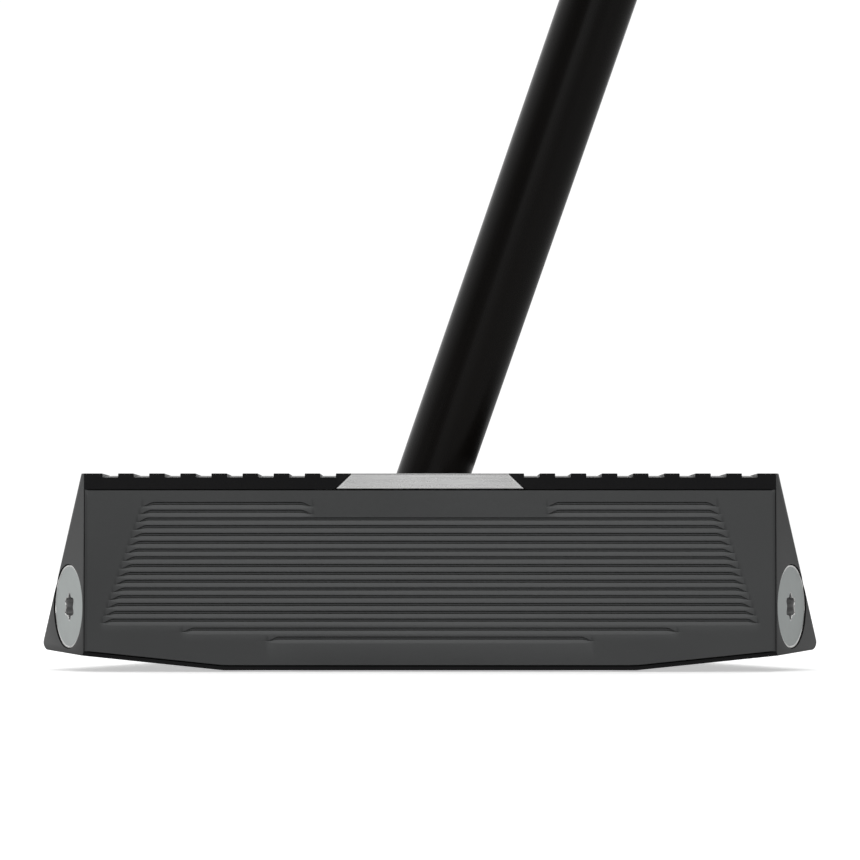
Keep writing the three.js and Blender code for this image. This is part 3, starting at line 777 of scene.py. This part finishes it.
for name, x, y in SCREWS:
    s = lathe(name + "_v", [(0, 0.9), (3.25, 0.9), (3.42, 0.98), (3.5, 1.15), (3.5, 3.5), (1.95, 3.5), (1.95, 19.2), (1.6, 19.6), (0, 19.6)], 64)
    boolean(s, loft("c", [[(a, b, 0.3) for a, b in lobes(1.66, 1.2, grow=0.3)], [(a, b, 1.0) for a, b in lobes(1.66, 1.2)], [(a, b, 2.6) for a, b in lobes(1.66, 1.2)]]))
    place(s, "putter", name, M_SCREW, 28.0, Matrix.Translation((x, y, 0)))

# ---------------------------------------------------------------- weights
def tag_weight(o, r, axis_top, up):
    """Face, bright turned rim and darker socket on one weight; the piece's own Z is its axis."""
    for p in o.data.polygons:
        q = p.center / MM
        rad = math.hypot(q.x, q.y)
        if rad > r - 0.34 and abs(q.z - axis_top) < 0.35:
            p.material_index = 1
        elif rad < 2.1 and 0.01 < (axis_top - q.z) * up < 0.15 and abs(p.normal.z) < 0.98:
            p.material_index = 1
        elif rad < 2.15 and (axis_top - q.z) * up > 0.12:
            p.material_index = 2


for s, node in ((-1, "toe_weight"), (1, "heel_weight")):
    top = -0.13
    w = lathe(node + "_v", [(0, top - 6.2), (4.1, top - 6.2)] + thread_profile(4.6, top - 5.7, top - 2.5) + [(4.25, top - 2.4), (4.25, top - 2.2), (5.43, top - 2.2), (5.43, top - 0.14), (5.40, top - 0.04),
                             (5.33, top), (5.18, top), (5.13, top - 0.04), (0, top - 0.04)], 160)
    cut_thread(w, 4.6, top - 5.7, top - 2.5, 0.75, 0.36)
    boolean(w, socket_cutter("c", top, 1.25))
    place(w, node, node, [M_DISC, M_RIM, M_SOCKET], 28.0, facet_frame(s))
    tag_weight(w, 5.43, top, 1)

for i, (x, y) in enumerate(SOLE_WEIGHTS):
    node = f"sole_weight_{i + 1}"
    # its own Z points up into the head, so the visible end is the low one
    w = lathe(node + "_v", [(0, 0.65), (4.12, 0.65), (4.18, 0.6), (4.32, 0.6), (4.46, 0.66), (4.5, 0.8), (4.5, 2.6), (3.62, 2.6), (3.62, 2.8)] + thread_profile(3.9, 2.9, 6.2) + [(3.5, 6.6), (0, 6.6)], 96)
    cut_thread(w, 3.9, 2.9, 6.2, 0.7, 0.33)
    boolean(w, socket_cutter("c", -0.6, 1.9, Matrix.Rotation(math.pi, 4, "Y")))
    place(w, node, node, [M_DISC, M_RIM, M_SOCKET], 28.0, Matrix.Translation((x, y, 0)))
    tag_weight(w, 4.5, 0.62, -1)

# ---------------------------------------------------------------- sight line
line = prism("sight_line_v", rounded_rect(-1.08, 1.08, 12.08, 37.12, 1.05, 10), DECK_Z - 1.16, DECK_Z - 0.62)
bevel_sharp(line, 0.08, 30, 2)
place(line, "putter", "sight_line", M_LINE)

# ---------------------------------------------------------------- shaft
end_s = BUTT_S - 3
prof = [(2.9, -11.9), (shaft_r(-11.9) - 0.25, -11.9), (TIP_R, -11.4), (TIP_R, 0)]
for i in range(1, 41):
    s = end_s * i / 40
    prof.append((shaft_r(s), s))
prof += [(shaft_r(end_s) - 1.3, end_s), (2.9, 48.1), (2.9, -11.9)]
shaft = lathe("shaft_v", prof, 128)
place(shaft, "putter", "shaft", M_SHAFT, 30.0, SHAFT_FRAME)

# Epoxy film at the joint: a thin sleeve round the shaft tip inside the bore, stopping below its lead-in.
ep = lathe("shaft_epoxy_v", [(TIP_R + 0.03, -11.3), (TIP_R + 0.22, -11.3), (TIP_R + 0.22, -2.0), (TIP_R + 0.03, -2.0), (TIP_R + 0.03, -11.3)], 128)
place(ep, "putter", "shaft_epoxy", M_EPOXY, 30.0, SHAFT_FRAME)

# ---------------------------------------------------------------- grip
S0, S1 = BUTT_S - 270, BUTT_S - 2.7


def d_section(s, w, f, b, n=96, lip=0.0):
    """D-shaped ring: flat toward -Y with rounded corners, round back."""
    rc = min(w, f + b) * 0.22
    pts = []
    cx, cy = w / 2 - rc, -f + rc
    # back half ellipse
    for i in range(n // 2 + 1):
        a = math.pi * i / (n // 2)
        pts.append((w / 2 * math.cos(a), b * math.sin(a)))
    m = n // 8
    for i in range(1, m + 1):
        t = i / m
        pts.append((-w / 2, (-f + rc) * t))
    for i in range(1, m + 1):
        a = math.pi + (math.pi / 2) * i / m
        pts.append((-cx + rc * math.cos(a), cy + rc * math.sin(a)))
    k = n // 8
    for i in range(1, k + 1):
        pts.append((-cx + 2 * cx * i / k, -f))
    for i in range(1, m + 1):
        a = 1.5 * math.pi + (math.pi / 2) * i / m
        pts.append((cx + rc * math.cos(a), cy + rc * math.sin(a)))
    for i in range(1, m):
        t = i / m
        pts.append((w / 2, (-f + rc) * (1 - t)))
    return [(x * (1 - lip / (w / 2)), y * (1 - lip / (w / 2)), s) for x, y in pts]


def grip_size(s):
    t = (s - (S0 + 7)) / (S1 - (S0 + 7))
    return 20.4 + (27.2 - 20.4) * t, 9.2 + (12.2 - 9.2) * t, 10.6 + (15.4 - 10.6) * t


sections = []
base_ring = d_section(S0, *grip_size(S0 + 7))
n_ring = len(base_ring)


def circle_like(s, r):
    out = []
    for x, y, _ in base_ring:
        L = math.hypot(x, y)
        out.append((x / L * r, y / L * r, s))
    return out


r0 = shaft_r(S0) + 1.55
first = d_section(S0 + 7, *grip_size(S0 + 7))
for t in (0.0, 0.02, 0.06, 0.12, 0.2, 0.32, 0.46, 0.62, 0.8):
    ring0 = circle_like(0, r0 - (0.25 if t == 0 else 0.0))
    e = min(t * 0.985, 1.0)
    sections.append([(a[0] * (1 - e) + b[0] * e, a[1] * (1 - e) + b[1] * e, S0 + 7 * t) for a, b in zip(ring0, first)])
steps = 150
for i in range(steps + 1):
    s = S0 + 7 + (S1 - S0 - 7) * i / steps
    sections.append(d_section(s, *grip_size(s), lip=0.03))
# The grip's last rings step in, leaving a groove under the cap.
sections[-1] = d_section(S1, *grip_size(S1), lip=0.35)
sections[-2] = d_section(S1 - 0.5, *grip_size(S1 - 0.5), lip=0.05)
grip = loft("grip_v", sections)
boolean(grip, lathe("c", [(0, S0 - 5), (shaft_r(S0) + 0.12, S0 - 5), (shaft_r(S0) + 0.12, S0 + 3.9), (shaft_r(S0) + 0.46, S0 + 4.0), (shaft_r(S1) + 0.5, S1 + 5), (0, S1 + 5)], 96))

# Shallow pressed rows across the flat front.
rowcut = []
for i in range(46):
    s = S0 + 30 + i * 4.6
    if s > S1 - 22:
        break
    w, f, b = grip_size(s)
    hw = w / 2 - 5.0
    pts = [(-hw, s - 0.55), (-hw + 0.5, s - 0.8), (hw - 0.5, s - 0.8), (hw, s - 0.55), (hw, s + 0.55), (hw - 0.5, s + 0.8), (-hw + 0.5, s + 0.8), (-hw, s + 0.55)]
    rowcut.append(loft("c", [[(x * 1.02, -f - 2, s + (z - s) * 1.4) for x, z in pts], [(x * 1.0, -f + 0.02, s + (z - s) * 1.25) for x, z in pts], [(x * 0.985, -f + 0.85, s + (z - s) * 0.8) for x, z in pts]]))
boolean(grip, joined("c", rowcut))
place(grip, "putter", "grip", M_GRIP, 35.0, SHAFT_FRAME)

cw, cf, cb = 27.2, 12.2, 15.4
cap_sections = [d_section(S1 + 0.1, cw, cf, cb, lip=0.3), d_section(S1 + 0.35, cw, cf, cb, lip=0.05), d_section(BUTT_S - 0.95, cw - 0.5, cf - 0.25, cb - 0.25, lip=0.05),
                d_section(BUTT_S - 0.45, cw - 1.3, cf - 0.65, cb - 0.65), d_section(BUTT_S - 0.12, cw - 2.2, cf - 1.1, cb - 1.1), d_section(BUTT_S, cw - 3.2, cf - 1.6, cb - 1.6)]
cap = loft("grip_end_cap_v", cap_sections)
boolean(cap, lathe("c", [(0, S1 - 3), (1.1, S1 - 3), (1.1, BUTT_S - 0.25), (1.5, BUTT_S + 0.2), (1.5, BUTT_S + 3), (0, BUTT_S + 3)], 48))
cap.data.transform(SHAFT_FRAME)
place(cap, "putter", "grip_end_cap", M_CAP, 35.0)

# CAD pieces that stay as they are, with finished materials in their slots.
for node, mat in (("face_insert_adhesive", M_FILM), ("grip_tape", M_TAPE)):
    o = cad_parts[node]
    o.data.materials.clear()
    o.data.materials.append(mat)

# ---------------------------------------------------------------- stage, light and camera
sc = bpy.context.scene


def stage_plane(name, size, loc, rot, mat):
    bm = bmesh.new()
    bmesh.ops.create_grid(bm, x_segments=1, y_segments=1, size=size / 2)
    me = bpy.data.meshes.new(name)
    bm.to_mesh(me)
    bm.free()
    o = bpy.data.objects.new(name, me)
    o.location, o.rotation_euler = loc, rot
    sc.collection.objects.link(o)
    o.data.materials.append(mat)
    return o


k = Mat("floor_paper", (0.92, 0.92, 0.92), 0.0, 0.7)
v = k.coords()
cl = k.noise(v, 3, 3, 0.5)
k.set(k.mix(cl, (0.90, 0.90, 0.90), (0.94, 0.94, 0.94)), k.remap(cl, 0, 1, 0.65, 0.8), k.bump(k.noise(v, 900, 3, 0.6), 0.1, 0.0001))
k.b.inputs["Emission Color"].default_value = (1, 1, 1, 1)
k.b.inputs["Emission Strength"].default_value = 0.50
dim = k.node("ShaderNodeEmission")
dim.inputs["Color"].default_value = (0.55, 0.55, 0.55, 1)
pick = k.node("ShaderNodeMixShader")
rays = k.node("ShaderNodeLightPath")
k.link(rays.outputs["Is Glossy Ray"], pick.inputs[0])
k.link(k.b.outputs[0], pick.inputs[1])
k.link(dim.outputs[0], pick.inputs[2])
k.link(pick.outputs[0], k.t.nodes["Material Output"].inputs["Surface"])
floor = stage_plane("floor", 14.0, (0, 0, -0.0002), (0, 0, 0), k.m)


world = bpy.data.worlds.new("studio")
sc.world = world
world.use_nodes = True
wt = world.node_tree
bg = wt.nodes["Background"]
tc = wt.nodes.new("ShaderNodeTexCoord")
sep = wt.nodes.new("ShaderNodeSeparateXYZ")
wt.links.new(tc.outputs["Generated"], sep.inputs[0])
mr = wt.nodes.new("ShaderNodeMapRange")
mr.inputs["From Min"].default_value = -0.25
mr.inputs["From Max"].default_value = 0.60
mr.interpolation_type = "SMOOTHSTEP"
lean = wt.nodes.new("ShaderNodeVectorMath")
lean.operation = "DOT_PRODUCT"
lean.inputs[1].default_value = (-0.40, 0.92, 0.0)
wt.links.new(tc.outputs["Generated"], lean.inputs[0])
wt.links.new(lean.outputs["Value"], mr.inputs["Value"])
mz = wt.nodes.new("ShaderNodeFloatCurve")
cm = mz.mapping
cm.curves[0].points[0].location = (0.0, 0.0)
cm.curves[0].points[1].location = (1.0, 0.16)
for x, y in ((0.44, 0.0), (0.59, 0.90), (0.74, 0.90), (0.88, 0.20)):
    cm.curves[0].points.new(x, y)
cm.update()
wt.links.new(sep.outputs["Z"], mz.inputs["Value"])
top = wt.nodes.new("ShaderNodeMath")
top.operation = "MAXIMUM"
wt.links.new(mr.outputs["Result"], top.inputs[0])
wt.links.new(mz.outputs["Value"], top.inputs[1])
face_on = wt.nodes.new("ShaderNodeVectorMath")
face_on.operation = "DOT_PRODUCT"
face_on.inputs[1].default_value = (math.sin(math.radians(7)), -math.cos(math.radians(7)), 0.0)
wt.links.new(tc.outputs["Generated"], face_on.inputs[0])
above0 = wt.nodes.new("ShaderNodeMath")
above0.operation = "MAXIMUM"
above0.inputs[1].default_value = 0.0
wt.links.new(face_on.outputs["Value"], above0.inputs[0])
lobe = wt.nodes.new("ShaderNodeMath")
lobe.operation = "POWER"
lobe.inputs[1].default_value = 7.0
wt.links.new(above0.outputs[0], lobe.inputs[0])
amp = wt.nodes.new("ShaderNodeMath")
amp.operation = "MULTIPLY"
amp.inputs[1].default_value = 0.45
wt.links.new(lobe.outputs[0], amp.inputs[0])
both = wt.nodes.new("ShaderNodeMath")
both.operation = "MAXIMUM"
wt.links.new(top.outputs[0], both.inputs[0])
wt.links.new(amp.outputs[0], both.inputs[1])
mx = wt.nodes.new("ShaderNodeMix")
mx.data_type = "RGBA"
mx.clamp_factor = False
wt.links.new(both.outputs[0], mx.inputs[0])
mx.inputs[6].default_value = (0.11, 0.11, 0.112, 1)
mx.inputs[7].default_value = (1.05, 1.05, 1.05, 1)
# What the camera sees behind the object is plain white paper.
lp = wt.nodes.new("ShaderNodeLightPath")
paper = wt.nodes.new("ShaderNodeMix")
paper.data_type = "RGBA"
wt.links.new(lp.outputs["Is Camera Ray"], paper.inputs[0])
wt.links.new(mx.outputs[2], paper.inputs[6])
paper.inputs[7].default_value = (1.05, 1.05, 1.05, 1)
wt.links.new(paper.outputs[2], bg.inputs["Color"])
bg.inputs["Strength"].default_value = 1.0


def area(name, loc, target, size, power, size_y=None, color=(1, 1, 1)):
    l = bpy.data.lights.new(name, "AREA")
    l.shape = "RECTANGLE" if size_y else "SQUARE"
    l.size = size
    if size_y:
        l.size_y = size_y
    l.energy, l.color = power, color
    o = bpy.data.objects.new(name, l)
    o.location = loc
    o.rotation_euler = (Vector(target) - Vector(loc)).to_track_quat("-Z", "Y").to_euler()
    sc.collection.objects.link(o)
    o.visible_camera = False
    return o


T0 = (0, -0.03, 0.02)
area("front", (0.0, -2.1, 1.10), T0, 1.3, 8.0, 1.6)
area("left", (-1.45, -0.95, 0.16), T0, 0.8, 1.6, 0.32)
area("right", (1.45, -0.95, 0.11), T0, 0.8, 0.5, 0.2)
area("top", (0.0, 0.1, 2.6), (0, 0, 0), 1.2, 3.0, 1.2)

cam = bpy.data.cameras.new("camera")
cam.sensor_width = 36.0
cam.lens = 195.4
cam.shift_x = 0.0
cam.shift_y = 0.0
cam.clip_start, cam.clip_end = 0.05, 50
co = bpy.data.objects.new("camera", cam)
co.location = (0.0, FACE_Y * MM - 0.600, 0.0125)
co.rotation_euler = (math.radians(90) + math.atan(0.1663 * 36.0 / 195.4), 0, 0)
sc.collection.objects.link(co)
sc.camera = co
sc.view_settings.view_transform = "Standard"
